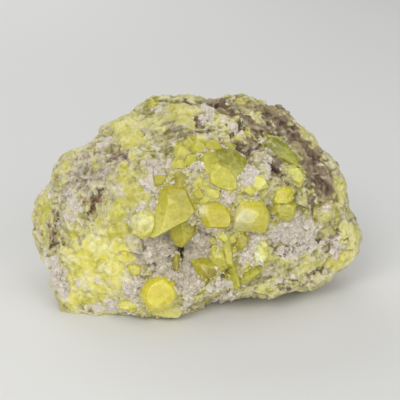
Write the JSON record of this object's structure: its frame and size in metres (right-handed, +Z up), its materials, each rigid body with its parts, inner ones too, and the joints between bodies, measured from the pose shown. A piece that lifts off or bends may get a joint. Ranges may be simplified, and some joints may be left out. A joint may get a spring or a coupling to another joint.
{
  "type": "native sulfur crystal specimen",
  "caption": "Native sulfur hand specimen: blocky yellow crystals and a white crust in a hollow of a pale, rough rock that stands on its flat broken base.",
  "frame": {"origin": "centre of the specimen's footprint box, on the ground under its flat base", "axes": "+X along its length, +Y away from the crystal face, +Z up; the crystal face looks along -Y"},
  "size_m": [0.1093, 0.0696, 0.065],
  "materials": {
    "rock": "rough, broken, pale limestone stained lemon yellow with grey and brown veins",
    "spar": "sparkling white to pinkish grey druse",
    "sulfur": "translucent resinous yellow crystal faces"
  },
  "bodies": {
    "root": {"matrix_rock": "rock", "spar_crust": "spar", "sulfur_big": "sulfur", "sulfur_tucked": "sulfur", "sulfur_middle": "sulfur", "sulfur_right": "sulfur", "sulfur_upper": "sulfur", "sulfur_wedged": "sulfur", "sulfur_front": "sulfur", "sulfur_blade": "sulfur", "sulfur_small_left": "sulfur", "sulfur_lower_group": "sulfur", "sulfur_mid_small": "sulfur", "sulfur_right_pair": "sulfur", "sulfur_green_upper": "sulfur", "sulfur_pale_upper": "sulfur", "sulfur_lemon_low": "sulfur"}
  },
  "joints": []
}
